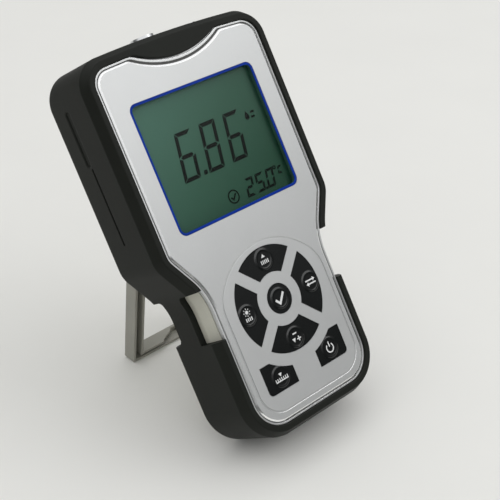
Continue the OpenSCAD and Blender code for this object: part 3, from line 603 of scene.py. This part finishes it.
MATERIALS = {
    "rubber": rubber_material(),
    "silver_paint": silver_material(),
    # Painted highlight: brighter, glossier copy of the silver paint, for the face's rounded edges.
    "silver_painted_highlight": mottled("silver_painted_highlight", (0.93, 0.94, 0.94), 0.16, vary=0.02, grain=0.3,
                           depth=0.002, rough_vary=0.03, metallic=1.0),
    # Painted shade: dark colour for the floor of the face's groove.
    "groove_shade": mottled("groove_shade", (0.10, 0.10, 0.095), 0.6, vary=0.1, grain=0.3),
    "overlay_film": mottled("overlay_film", (0.55, 0.56, 0.56), 0.36, vary=0.02, grain=0.15,
                            depth=0.004, metallic=0.5),
    "housing_plastic": mottled("housing_plastic", (0.55, 0.545, 0.47), 0.55, vary=0.04,
                               grain=0.3, depth=0.015),
    "stand_plastic": mottled("stand_plastic", (0.33, 0.325, 0.285), 0.5, vary=0.05, grain=0.3,
                             depth=0.015),
    "key_black": mottled("key_black", (0.004, 0.005, 0.005), 0.12, vary=0.2, grain=1.2,
                         depth=0.004, rough_vary=0.04, specular=0.4),
    "legend_white": mottled("legend_white", (0.78, 0.79, 0.79), 0.5, vary=0.05, grain=0.2,
                            depth=0.003),
    "lcd": lcd_material(),
    "lcd_ink": mottled("lcd_ink", (0.001, 0.003, 0.0025), 0.6, vary=0.25, patch=5, grain=0.3,
                       depth=0.001, specular=0.05),
    "clear_window": window_material(),
    "bezel_plastic": mottled("bezel_plastic", (0.003, 0.032, 0.29), 0.35, vary=0.1, grain=0.4,
                             depth=0.004, specular=0.08),
    # Painted shade: the display's green as it looks in the frame's shadow, for the wall below the blue rim.
    "display_shade": mottled("display_shade", (0.055, 0.13, 0.095), 0.5, vary=0.1, grain=0.4,
                             specular=0.1),
    "seal_rubber": mottled("seal_rubber", (0.03, 0.03, 0.03), 0.7, grain=0.3),
    "white_plastic": mottled("white_plastic", (0.78, 0.78, 0.74), 0.5, vary=0.03, grain=0.4,
                             depth=0.01),
    "conductive_rubber": mottled("conductive_rubber", (0.6, 0.34, 0.32), 0.6, vary=0.3,
                                 patch=0.3),
    "board": mottled("board", (0.02, 0.15, 0.05), 0.35, vary=0.15, patch=3, grain=0.5,
                     depth=0.01),
    "chip_plastic": mottled("chip_plastic", (0.018, 0.018, 0.02), 0.5, grain=0.15),
    "component": mottled("component", (0.42, 0.32, 0.17), 0.45, vary=0.15, patch=1.0),
    "silicone": mottled("silicone", (0.28, 0.285, 0.28), 0.6, grain=0.5),
    "spring_steel": mottled("spring_steel", (0.72, 0.73, 0.74), 0.25, vary=0.05, grain=0.2,
                            depth=0.003, metallic=1.0),
    "nickel": mottled("nickel", (0.68, 0.69, 0.7), 0.22, vary=0.05, patch=4, grain=0.15,
                      depth=0.003, metallic=1.0),
    "ptfe": mottled("ptfe", (0.86, 0.86, 0.83), 0.4, vary=0.02, grain=0.3),
    "black_insulator": mottled("black_insulator", (0.03, 0.03, 0.032), 0.4, grain=0.3),
    "gold": mottled("gold", (0.83, 0.6, 0.22), 0.25, vary=0.06, grain=0.15, depth=0.003,
                    metallic=1.0),
    "wire": mottled("wire", (0.48, 0.03, 0.025), 0.4, grain=0.4),
    "cell_jacket": mottled("cell_jacket", (0.6, 0.3, 0.08), 0.3, patch=6, metallic=0.4),
    "steel": mottled("steel", (0.58, 0.59, 0.6), 0.3, vary=0.06, patch=2, grain=0.2,
                     depth=0.004, metallic=1.0),
}


# ---- Boot ----

def boot_rings():
    """Rings of the boot from its back lip, round the outside and the rim, and down the inside.

    The rim follows the face with its crescent, and every other ring follows the case.
    """
    outside = rounded_profile([
        (OPENING_INSET, 2.7, 0),
        (OPENING_INSET, 0, 0.5),
        (0, 0, 3.15),
        (0, BAND_Z, 1.6),
        (BAND_W, BOOT_TOP, 0.75),
        (RIM_EDGE, BOOT_TOP, 0.35),
        (RIM_EDGE, 28, 0),
    ], 8)
    rim_start = RIM_EDGE - 0.4
    case = [(d, z) for d, z in outside if d <= rim_start or z < 15]
    rim = [(d, z) for d, z in outside if d > rim_start and z > 28.1] + [(RIM_EDGE, 28.45)]
    inside = [
        (RIM_EDGE, 28.35),
        (RIM_EDGE, 27.7),
        (4.2, 27.4),
        (2.7, 22),
        (2.7, 4.8),
        (3.3, 3.3),
        (4.8, 2.7),
    ]
    rings = [at_height(case_outline(d), z) for d, z in case]
    rings += [at_height(face_outline(d, RIM_SHAPE), z) for d, z in rim]
    return rings + [at_height(case_outline(d), z) for d, z in inside]


def side_prism(name, outlines, depths):
    """Cutter into the meter's side, with an outline of (Y, Z) points at each depth X."""
    rings = [[(x, y, z) for y, z in outline] for outline, x in zip(outlines, depths)]
    return skin(name, rings)


def grip_cutters(side):
    """The two cut-outs at the grip, one from the front and a shallower one from the back."""
    y0, y1 = CUT_LOW, CUT_HIGH
    above, below = BOOT_TOP + 2 * CUT_PAST, -CUT_PAST
    front = [(y0, above), (y0, CUT_FRONT_Z)]
    front += arc(y1 - 3, CUT_FRONT_Z + 3, 3, -90, 0, 10) + [(y1, above)]
    back = [(y0 + 0.8, below), (y0 + 0.8, 3.4), (y0 + 1.2, 4.9), (y0 + 2.1, 6.6)]
    back += [(y0 + 3.2, CUT_BACK_Z)] + arc(y1 - 1.9, CUT_BACK_Z - 1.4, 1.4, 90, 0, 8)
    back += [(y1 - 0.5, below)]
    reach = (side * CUT_DEEP, side * (HEAD_HALF + CUT_PAST))
    return [
        side_prism("cut_front", (front, front), reach),
        side_prism("cut_back", (back, back), reach),
    ]


def groove_cutter(side, low, high, r, flare):
    """Shallow groove from low to high in the side, whose rounded walls widen it by flare."""
    steps = 6
    outlines, depths = [], []
    for i in range(steps + 1):
        a = math.pi / 2 * i / steps
        grow = flare * (1 - math.cos(a))
        start = (low[0] - grow, low[1] - grow)
        end = (high[0] + grow, high[1] + grow)
        outlines.append(rounded_box(start, end, r + grow, 6))
        depths.append(side * (HEAD_HALF - GROOVE_DEPTH * (1 - math.sin(a)) + 0.002))
    outlines.append(outlines[-1])
    depths.append(side * (HEAD_HALF + CUT_PAST))
    return side_prism("cut_groove", outlines, depths)


def boot_cutters():
    """Cutters for the grip, a wide and a narrow groove in each side, and the sockets' well."""
    cutters = []
    for side in (-1, 1):
        cutters += grip_cutters(side)
        cutters.append(groove_cutter(side, (122.8, 10.9), (144.2, 13.2), 1.0, 0.9))
        cutters.append(groove_cutter(side, (91, 12.9), (121.6, 13.5), 0.29, 0.3))
    well = rounded_box((-15, 5), (32, 23.5), 2, 6)
    rings = [[(x, y, z) for x, z in well] for y in (WELL_START_Y, CASE_LEN + 3)]
    cutters.append(skin("cut_well", rings))
    for cutter in cutters:
        outward(cutter)
    return cutters


def outward(obj):
    """Makes a closed mesh's faces point outwards."""
    bm = bmesh.new()
    bm.from_mesh(obj.data)
    bmesh.ops.recalc_face_normals(bm, faces=bm.faces[:])
    bm.to_mesh(obj.data)
    bm.free()
    return obj


def make_boot():
    boot = outward(skin("boot", boot_rings(), loop=True))
    carve(boot, boot_cutters())
    smooth(boot, 28)
    finish_piece(boot, "meter", "rubber", ["rubber_boot"])


# ---- Face and keypad ----

def key_outlines(grow=0.0):
    """Outline of each key, by its CAD node's name."""
    circle = arc(0, KEYS_Y, OK_R + grow, 0, 360, 64)[:-1]
    outlines = {"key_ok": circle}
    for name, turn in (("key_up", 0), ("key_left", 90), ("key_down", 180), ("key_right", 270)):
        outlines[name] = placed(ring_key_outline(grow), 0, KEYS_Y, turn)
    outlines["key_power"] = corner_key_outline(grow)
    outlines["key_calibrate"] = mirrored(corner_key_outline(grow))
    return outlines


# Middle of the emboss under the finger on each key
KEY_DOMES = {
    "key_ok": (0, KEYS_Y),
    "key_up": (0, KEYS_Y + 16.4),
    "key_down": (0, KEYS_Y - 16.4),
    "key_left": (-17.1, KEYS_Y),
    "key_right": (17.1, KEYS_Y),
    "key_calibrate": (-13.65, 21.6),
    "key_power": (13.65, 21.6),
}


def face_rings():
    """Outer rim, fine groove, and the rounded edge of the raised face."""
    e = FACE_INSET
    profile = rounded_profile([
        (e, FACE_BASE, 0),
        (e, 29.25, 0.2),
        (e + 0.78, 29.3, 0.1),
        (e + 0.84, GROOVE_Z, 0.04),
        (e + 1.16, GROOVE_Z, 0.04),
        (e + 1.2, 29.22, 0.2),
        (e + 1.95, FACE_TOP, 0.5),
        (e + 6, FACE_TOP, 0),
    ], 5)

    def shape(d):
        """The crescent that belongs to the rim, the groove or the raised face."""
        if d < e + 0.5:
            return SHAPE
        return GROOVE_SHAPE if d < e + 1 else RAISED_SHAPE

    return [at_height(face_outline(d, shape(d)), z) for d, z in profile[:-1]]


def film_recess():
    """Cutter for the film's recess, with a rounded upper edge."""
    low = OVERLAY_LOW.z - 0.02
    edge = 0.16
    steps = 4
    rings = [at_height(overlay_outline(0), z) for z in (low, FACE_TOP - edge)]
    for i in range(1, steps + 1):
        a = math.pi / 2 * i / steps
        out, up = edge * (1 - math.cos(a)), edge * math.sin(a)
        rings.append(at_height(overlay_outline(-out), FACE_TOP - edge + up + 0.001))
    rings.append(at_height(overlay_outline(-edge), FACE_TOP + CUT_PAST))
    return skin("cut_film", rings)


def make_face():
    """Silver face on its flange, with openings for the display and the keys."""
    face = outward(skin("face", face_rings()))
    flange = outward(prism("face_flange", case_outline(FACE_INSET + 0.03), 27.6, FACE_BASE + 0.2))
    join_solids(face, [flange])
    above = FACE_TOP + CUT_PAST
    cutters = [prism("cut_display", display_outline(0.05), FACE_UNDER, above), film_recess()]
    for outline in key_outlines(KEY_CLEAR).values():
        cutters.append(prism("cut_key", outline, FACE_UNDER, above))
    carve(face, [outward(c) for c in cutters])
    smooth(face, 28)
    finish_piece(face, "meter", "silver_paint", ["front_housing"])
    paint_edge_highlight_and_groove_shade(face)


def paint_edge_highlight_and_groove_shade(obj):
    """Paints light and shade on the face: its rounded edges get a brighter, glossier copy of the silver as a
    painted highlight, and its groove floor a dark colour as painted shade.
    """
    obj.data.materials.append(MATERIALS["silver_painted_highlight"])
    obj.data.materials.append(MATERIALS["groove_shade"])
    turn = TO_METER.to_3x3().normalized()
    flat = 0.985
    above_groove = GROOVE_Z + 0.3
    for face in obj.data.polygons:
        tilt = (turn @ face.normal).z
        height = (TO_METER @ face.center).z
        # Sloping faces of the rounded edges take the painted highlight; flat faces at the groove's floor take the
        # painted shade.
        if 0.25 < tilt < flat and height > above_groove:
            face.material_index = 1
        elif tilt > flat and abs(height - GROOVE_Z) < 0.05:
            face.material_index = 2


def display_outline(grow):
    """Outline of the display opening, moved out by grow."""
    edge = BEZEL_FLANGE - 0.05 - grow
    low = (BEZEL_LOW.x + edge, BEZEL_LOW.y + edge)
    high = (BEZEL_HIGH.x - edge, BEZEL_HIGH.y - edge)
    return rounded_box(low, high, DISPLAY_R + grow, 10)


def make_bezel():
    """Thin blue frame, undercut so that the display shows right up to it."""
    low, high = BEZEL_LOW.z, FACE_TOP - 0.08
    rim = [
        (-1.05, high - 0.28),
        (-1.05, high - 0.06),
        (-0.98, high),
        (-0.07, high),
        (-0.01, high - 0.06),
        (-0.01, high - 1.2),
    ]
    wall = [
        (-0.25, low),
        (-0.25, high - 1.05),
        (-0.01, high - 1.25),
        (-0.01, low + 0.65),
        (1.9, low + 0.65),
        (1.9, low),
    ]
    bezel = frame_piece("bezel", rim)
    finish_piece(bezel, "meter", "bezel_plastic", ["display_bezel"])
    # Painted shade: this wall below the rim stands where the display shows in the frame's shade, and takes that
    # shaded green.
    shade = frame_piece("display_shade", wall)
    finish_piece(shade, "meter", "display_shade")


def make_window():
    """Clear window, a little wider than the opening, so that its edge is out of sight."""
    low, high = WINDOW_LOW.z, WINDOW_HIGH.z
    section = [(-0.4, low), (-0.3, low + 0.1), (-0.3, high - 0.1), (-0.4, high)]
    window = outward(skin("window", [at_height(display_outline(g), z) for g, z in section]))
    smooth(window, 30)
    finish_piece(window, "meter", "clear_window", ["display_window"])


def frame_piece(name, section):
    """Frame round the display with the given section of (outward, height) points."""
    rings = [at_height(display_outline(g), z) for g, z in section]
    return smooth(outward(skin(name, rings, loop=True)), 50)


def make_overlay():
    """Film in its recess, with a rounded edge and an opening for each key."""
    low, high = OVERLAY_LOW.z, OVERLAY_HIGH.z
    edge = [(0.5, low), (0.5, high - 0.16), (0.54, high - 0.08), (0.61, high - 0.03), (0.71, high)]
    film = outward(skin("film", [at_height(overlay_outline(d), z) for d, z in edge]))
    outlines = key_outlines(KEY_CLEAR + 0.03).values()
    cutters = [outward(prism("cut_key", outline, low - 1, high + 1)) for outline in outlines]
    carve(film, cutters)
    smooth(film, 28)
    finish_piece(film, "meter", "overlay_film", ["keypad_overlay"])


def ease(t):
    """Smooth step from 0 to 1 as t goes from 0 to 1."""
    t = max(0.0, min(1.0, t))
    return t * t * (3 - 2 * t)


def key_height(name):
    """Height of a key's surface: flat, with a round disc and its ridge under the finger."""
    cx, cy = KEY_DOMES[name]
    top = FACE_TOP + KEY_RISE

    def height(x, y):
        r = math.hypot(x - cx, y - cy)
        disc = 0.10 * ease((DOME_R + 0.3 - r) / 0.7)
        ridge = 0.13 * math.exp(-((r - DOME_R + 0.3) / 0.36) ** 2)
        return top + disc + ridge

    return height


def make_keys():
    """Glossy caps, each with a flange that holds it under the face and a stem on its dome."""
    flanges = key_outlines(0.7)
    for name, outline in key_outlines().items():
        surface = key_height(name)
        key = height_field("cap_" + name, outline, surface, lambda x, y: KEY_BASE, KEY_CELL)
        flange = outward(prism("flange", flanges[name], 26.9, 27.5))
        circle = arc(*KEY_DOMES[name], STEM_R, 0, 360, 24)[:-1]
        stem = outward(prism("stem", circle, KEY_STEM_LOW, 27.0))
        join_solids(key, [flange, stem])
        smooth(key, 32)
        finish_piece(key, name, "key_black", [name])


# ---- Key legends ----

def stroke(points, width):
    """Outline of a straight or bent line of the given width, with square ends."""
    left, right = [], []
    for i, p in enumerate(points):
        here = Vector(p)
        before = (here - Vector(points[i - 1])).normalized() if i > 0 else None
        after = (Vector(points[i + 1]) - here).normalized() if i + 1 < len(points) else None
        last = after or before
        along = ((before or after) + last).normalized()
        side = Vector((-along.y, along.x))
        reach = width / 2 / max(0.4, abs(side.dot(Vector((-last.y, last.x)))))
        left.append(tuple(here + side * reach))
        right.append(tuple(here - side * reach))
    return left + right[::-1]


def band(cx, cy, r, width, start, end, steps=18):
    """Outline of a thick arc."""
    outer = arc(cx, cy, r + width / 2, start, end, steps)
    return outer + arc(cx, cy, r - width / 2, end, start, steps)


def whole_ring(cx, cy, r, width):
    return [band(cx, cy, r, width, 0, 180), band(cx, cy, r, width, 180, 360)]


def tick(cx, cy, size, width):
    """Check mark of about the given size."""
    points = ((-0.5, 0.02), (-0.13, -0.38), (0.55, 0.42))
    return stroke([(cx + size * x, cy + size * y) for x, y in points], width)


def bars(cx, cy, count, pitch, height, width):
    """Row of short upright bars."""
    first = cx - pitch * (count - 1) / 2
    places = [first + pitch * i for i in range(count)]
    return [stroke([(x, cy - height / 2), (x, cy + height / 2)], width) for x in places]


def arrow(x0, x1, y, head, width):
    """Horizontal arrow from x0 to x1."""
    way = 1 if x1 > x0 else -1
    neck = x1 - way * head
    shaft = stroke([(x0, y), (neck, y)], width)
    return [shaft, [(neck, y + head * 0.75), (neck, y - head * 0.75), (x1, y)]]


def legend_up():
    """A triangle over a row of bars."""
    return [[(-0.95, 0.75), (0.95, 0.75), (0, 2.1)]] + bars(0, -1.0, 5, 0.85, 1.5, 0.42)


def legend_down():
    """A minus over a triangle and a plus."""
    minus = stroke([(-1.0, 1.5), (1.0, 1.5)], 0.5)
    plus = [stroke([(0.3, -1.0), (2.3, -1.0)], 0.5), stroke([(1.3, -2.0), (1.3, 0.0)], 0.5)]
    return [minus, [(-2.1, -0.2), (-0.3, -0.2), (-1.2, -1.8)]] + plus


def legend_left():
    """A sun over a row of bars."""
    rays = []
    for i in range(8):
        c, s = math.cos(math.pi * i / 4), math.sin(math.pi * i / 4)
        rays.append(stroke([(1.15 * c, 1.3 + 1.15 * s), (1.65 * c, 1.3 + 1.65 * s)], 0.34))
    sun = arc(0, 1.3, 0.72, 0, 360, 20)[:-1]
    return rays + [sun] + bars(0, -1.5, 4, 0.9, 1.4, 0.45)


def legend_right():
    """Two arrows, one each way."""
    return arrow(-2.5, 2.5, 0.75, 1.2, 0.55) + arrow(2.5, -2.5, -0.75, 1.2, 0.55)


def legend_calibrate():
    """A scale with a pointer above its middle mark."""
    marks = bars(0, -0.75, 7, 1.0, 1.1, 0.36)
    base = stroke([(-3.2, -1.45), (3.2, -1.45)], 0.4)
    return marks + [base, [(-0.85, 1.5), (0, 0.1), (0.85, 1.5)]]


def legend_power():
    """An open ring with a bar in its gap."""
    return [band(0, -0.2, 1.75, 0.5, 130, 410, 26), stroke([(0, 0.2), (0, 2.4)], 0.5)]


LEGENDS = {
    "key_ok": [tick(0, -0.1, 4.6, 0.95)],
    "key_up": legend_up(),
    "key_down": legend_down(),
    "key_left": legend_left(),
    "key_right": legend_right(),
    "key_calibrate": legend_calibrate(),
    "key_power": legend_power(),
}


def merge(name, parts):
    """Joins several objects' meshes into one object."""
    bm = bmesh.new()
    for part in parts:
        bm.from_mesh(part.data)
        bpy.data.objects.remove(part)
    return bmesh_object(name, bm)


def make_legends():
    """White print on each key, a little above and below the key's surface."""
    for name, outlines in LEGENDS.items():
        surface = key_height(name)

        def above(x, y):
            return surface(x, y) + 0.02

        def below(x, y):
            return surface(x, y) - 0.04

        moved = [placed(outline, *KEY_DOMES[name]) for outline in outlines]
        parts = [height_field("part", outline, above, below, 0.5) for outline in moved]
        legend = merge("legend_" + name, parts)
        smooth(legend, 40)
        finish_piece(legend, name, "legend_white")


# ---- Display content ----

SEGMENTS = {
    "0": "abcdef",
    "2": "abged",
    "5": "afgcd",
    "6": "afgecd",
    "8": "abcdefg",
    "C": "adef",
}
SLANT = 0.194


def bar_shape(p, q, width):
    """Straight stroke from p to q with pointed ends."""
    p, q = Vector(p), Vector(q)
    along = (q - p).normalized() * width / 2
    side = Vector((-along.y, along.x))
    corners = (p, p + along + side, q - along + side, q, q - along - side, p + along - side)
    return [tuple(c) for c in corners]


def segment_shapes(width, height, w, g):
    """The seven segments of a digit, w thick with gaps g between them."""
    middle, half = height / 2, w / 2
    top = [(g, height), (width - g, height), (width - g - w, height - w), (g + w, height - w)]
    left = [(0, height - g), (w, height - w - g), (w, middle + half + g), (0, middle + g)]
    bar = [
        (half + g, middle),
        (w + g, middle + half),
        (width - w - g, middle + half),
        (width - half - g, middle),
        (width - w - g, middle - half),
        (w + g, middle - half),
    ]

    def flip_x(outline):
        return [(width - x, y) for x, y in reversed(outline)]

    def flip_y(outline):
        return [(x, height - y) for x, y in reversed(outline)]

    return {
        "a": top,
        "b": flip_x(left),
        "c": flip_y(flip_x(left)),
        "d": flip_y(top),
        "e": flip_y(left),
        "f": left,
        "g": bar,
    }


def digit(symbol, x, y, width, height, weight):
    """Slanted seven-segment symbol with its lower left corner at (x, y)."""
    shapes = segment_shapes(width, height, weight, weight * 0.1)
    lit = [shapes[name] for name in SEGMENTS[symbol]]
    return [[(x + u + SLANT * v, y + v) for u, v in shape] for shape in lit]


def square_dot(x, y, size):
    """Slanted square with its lower left corner at (x, y)."""
    shift = size * SLANT
    return [(x, y), (x + size, y), (x + size + shift, y + size), (x + shift, y + size)]


def droplet(cx, cy, r):
    """Circle drawn up to a point."""
    return arc(cx, cy, r, -215, 35, 20) + [(cx, cy + 2.2 * r)]


def display_outlines():
    """The large reading, the temperature with its unit, a tick in a ring, and a droplet mark."""
    shapes = []
    for symbol, x in (("6", -18.3), ("8", -5.9), ("6", 6.4)):
        shapes += digit(symbol, x, 103.3, 8.0, 18.8, 1.6)
    shapes.append(square_dot(-8.4, 103.5, 1.7))
    for symbol, x in (("2", 6.7), ("5", 12.2), ("0", 17.8)):
        shapes += digit(symbol, x, 88.5, 4.2, 7.4, 1.05)
    shapes.append(square_dot(16.7, 88.5, 1.0))
    shapes += digit("C", 25.2, 92.0, 2.3, 3.2, 0.8)
    shapes += whole_ring(24.2, 95.2, 0.6, 0.5)
    shapes += whole_ring(0.4, 91.4, 2.5, 0.6)
    shapes.append(tick(0.3, 91.3, 2.6, 0.7))
    shapes.append(droplet(21.3, 117.6, 1.15))
    shapes.append(bar_shape((22.9, 117.0), (25.3, 117.0), 0.9))
    shapes.append(bar_shape((23.3, 118.9), (25.7, 118.9), 0.9))
    return shapes


def make_display():
    """The lit segments, as a thin print on the display's glass."""
    low, high = LCD_TOP - 0.02, LCD_TOP + 0.05
    parts = [prism("part", outline, low, high) for outline in display_outlines()]
    ink = merge("display_segments", [outward(part) for part in parts])
    finish_piece(ink, "meter", "lcd_ink")


# ---- Scene ----

EDGE_WIDTH = 0.08
EDGE_WIDTHS = {"kickstand": 0.3, "rear_housing": 0.2, "battery_door": 0.15}


def finish_cad_nodes():
    """Gives each CAD node its material, and rounds the visible ones' edges by modifiers alone."""
    slots = {part["node"]: part["material_slot"] for part in frame["record"]["subparts"]}
    for name, node in frame["nodes"].items():
        node.data.materials.clear()
        node.data.materials.append(MATERIALS[slots[name]])
        if node.hide_render:
            continue
        weld = node.modifiers.new("weld", "WELD")
        weld.merge_threshold = 0.002 * MM
        flat = node.modifiers.new("flat", "DECIMATE")
        flat.decimate_type = "DISSOLVE"
        flat.angle_limit = math.radians(0.5)
        soft_edges(node, EDGE_WIDTHS.get(name, EDGE_WIDTH))


def make_key_light():
    """Large soft light from the front right, aimed at the middle of the meter."""
    data = bpy.data.lights.new("key_light", "AREA")
    data.shape = "RECTANGLE"
    data.size = 0.9
    data.size_y = 0.6
    data.energy = 2.8
    light = linked("key_light", data)
    light.location = (0.65, -0.8, 0.9)
    aim = Vector((0, 0, 0.07)) - light.location
    light.rotation_euler = aim.to_track_quat("-Z", "Y").to_euler()


def make_floor():
    """Pale plain floor, a hair below the meter."""
    mesh = bpy.data.meshes.new("floor")
    half = 3.0
    corners = [(-half, -half, 0), (half, -half, 0), (half, half, 0), (-half, half, 0)]
    mesh.from_pydata(corners, [], [(0, 1, 2, 3)])
    floor = linked("floor", mesh)
    floor.location.z = -0.0002
    paper = mottled("floor_paper", (0.83, 0.83, 0.80), 0.7, vary=0.01, patch=80, grain=1.5)
    floor.data.materials.append(paper)


def make_world():
    """Studio with dim walls and a bright ceiling; the camera sees a plain pale backdrop."""
    world = bpy.data.worlds.new("studio")
    world.use_nodes = True
    nodes, links = world.node_tree.nodes, world.node_tree.links
    place = nodes.new("ShaderNodeTexCoord")
    axes = nodes.new("ShaderNodeSeparateXYZ")
    links.new(place.outputs["Generated"], axes.inputs["Vector"])
    levels = ((0.0, 0.09), (0.24, 0.14), (0.38, 0.40), (0.56, 0.88), (1.0, 1.0))
    stops = [(position, (level, level, level)) for position, level in levels]
    studio = nodes["Background"]
    studio.inputs["Strength"].default_value = 1.09
    links.new(ramp(world, axes.outputs["Z"], stops), studio.inputs["Color"])
    pale = nodes.new("ShaderNodeBackground")
    pale.inputs["Color"].default_value = (0.72, 0.72, 0.70, 1)
    seen = nodes.new("ShaderNodeLightPath")
    mix = nodes.new("ShaderNodeMixShader")
    links.new(seen.outputs["Is Camera Ray"], mix.inputs["Fac"])
    links.new(studio.outputs["Background"], mix.inputs[1])
    links.new(pale.outputs["Background"], mix.inputs[2])
    links.new(mix.outputs["Shader"], nodes["World Output"].inputs["Surface"])
    bpy.context.scene.world = world
    bpy.context.scene.view_settings.view_transform = "Standard"


VIEW_AZIMUTH = -44.02
VIEW_ELEVATION = 31.74
VIEW_DISTANCE = 0.4676
VIEW_AIM = METER @ Vector((-4.3, 70.5, 29.6))
VIEW_LENS = 88.1


def make_camera():
    """Camera at the photo's viewing angle."""
    data = bpy.data.cameras.new("camera")
    data.lens = VIEW_LENS
    data.sensor_width = 36
    data.clip_start = 0.01
    camera = linked("camera", data)
    a, e = math.radians(VIEW_AZIMUTH), math.radians(VIEW_ELEVATION)
    back = Vector((math.sin(a) * math.cos(e), -math.cos(a) * math.cos(e), math.sin(e)))
    camera.location = VIEW_AIM + back * VIEW_DISTANCE
    camera.rotation_euler = (-back).to_track_quat("-Z", "Y").to_euler()
    bpy.context.scene.camera = camera


make_boot()
make_face()
make_bezel()
make_window()
make_overlay()
make_keys()
make_legends()
make_display()
finish_cad_nodes()
make_floor()
make_world()
make_key_light()
make_camera()
